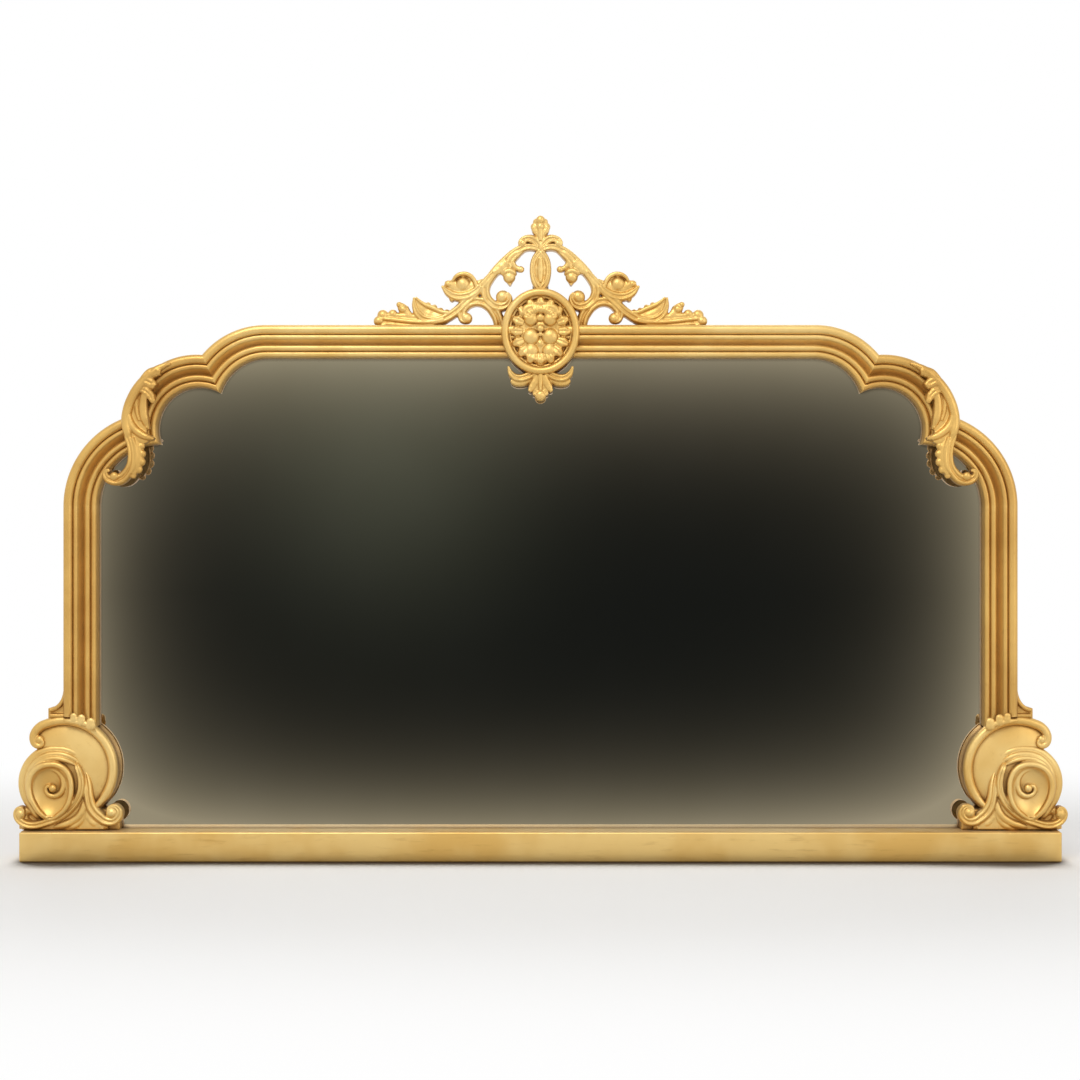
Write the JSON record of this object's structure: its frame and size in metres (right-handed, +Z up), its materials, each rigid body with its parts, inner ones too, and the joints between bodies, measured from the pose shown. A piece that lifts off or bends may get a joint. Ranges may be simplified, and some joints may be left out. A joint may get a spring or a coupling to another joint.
{
  "type": "overmantel mirror",
  "caption": "Carved giltwood overmantel mirror with arched reeded frame, pierced crest, scroll feet and plinth, and hinged hanging rings behind.",
  "frame": {"origin": "middle of the plinth's underside", "axes": "+X to the right seen from the front, +Y back to the wall, +Z up; the mirror faces -Y"},
  "size_m": [1.584, 0.09, 0.9724],
  "materials": {
    "gilt_moulding": "oil gilding on a moulded wood section",
    "gilt_carving": "oil and water gilding on carved wood",
    "gilt_plinth": "oil gilding on flat boards",
    "silvered_glass": "silvered plate, a little foxed",
    "bare_pine": "old planed pine",
    "backboard_pine": "dusty rough-sawn pine",
    "iron_strap": "blackened wrought iron",
    "steel_screw": "dulled steel",
    "brass_hanger": "tarnished brass"
  },
  "bodies": {
    "frame": {"plinth_front": "gilt_plinth", "plinth_top": "gilt_plinth", "plinth_end_left": "gilt_plinth", "plinth_end_right": "gilt_plinth", "plinth_back": "bare_pine", "plinth_bottom": "bare_pine", "plinth_blocks": "bare_pine", "plate_blocks": "bare_pine", "head_rail": "bare_pine", "sill_rail": "bare_pine", "crest_block": "bare_pine", "upright_left": "bare_pine", "upright_right": "bare_pine", "shoulder_left": "bare_pine", "shoulder_right": "bare_pine", "mirror_plate": "silvered_glass", "backboard_1": "backboard_pine", "backboard_2": "backboard_pine", "backboard_3": "backboard_pine", "backboard_4": "backboard_pine", "stile_left": "gilt_moulding", "stile_right": "gilt_moulding", "lower_arch_left": "gilt_moulding", "lower_arch_right": "gilt_moulding", "mid_arch_left": "gilt_moulding", "mid_arch_right": "gilt_moulding", "top_arch_left": "gilt_moulding", "top_arch_right": "gilt_moulding", "top_rail_left": "gilt_moulding", "top_rail_right": "gilt_moulding", "stile_bracket_left": "gilt_moulding", "stile_bracket_right": "gilt_moulding", "medallion": "gilt_carving", "medallion_boss": "gilt_carving", "medallion_pendant": "gilt_carving", "crest_ribbon": "gilt_carving", "crest_finial": "gilt_carving", "collar_leaves_left": "gilt_carving", "collar_leaves_right": "gilt_carving", "foot_board_left": "gilt_carving", "foot_board_right": "gilt_carving", "foot_rim_left": "gilt_carving", "foot_rim_right": "gilt_carving", "foot_volute_left": "gilt_carving", "foot_volute_right": "gilt_carving", "shoulder_spray_left": "gilt_carving", "shoulder_spray_right": "gilt_carving", "crest_scroll_left": "gilt_carving", "crest_scroll_right": "gilt_carving", "crest_brace": "iron_strap", "backboard_screws": "steel_screw", "crest_screws": "steel_screw", "hanger_screws": "steel_screw", "hanger_strap_left": "brass_hanger", "hanger_strap_right": "brass_hanger"},
    "ring_left": {"hanger_ring_left": "brass_hanger"},
    "ring_right": {"hanger_ring_right": "brass_hanger"}
  },
  "joints": [
    {"name": "ring_left_hinge", "type": "hinge", "parent": "frame", "child": "ring_left", "pos_m": [-0.7005, 0.03155, 0.465], "axis": [1, 0, 0], "range_deg": [0, 150]},
    {"name": "ring_right_hinge", "type": "hinge", "parent": "frame", "child": "ring_right", "pos_m": [0.7005, 0.03155, 0.465], "axis": [1, 0, 0], "range_deg": [0, 150]}
  ]
}
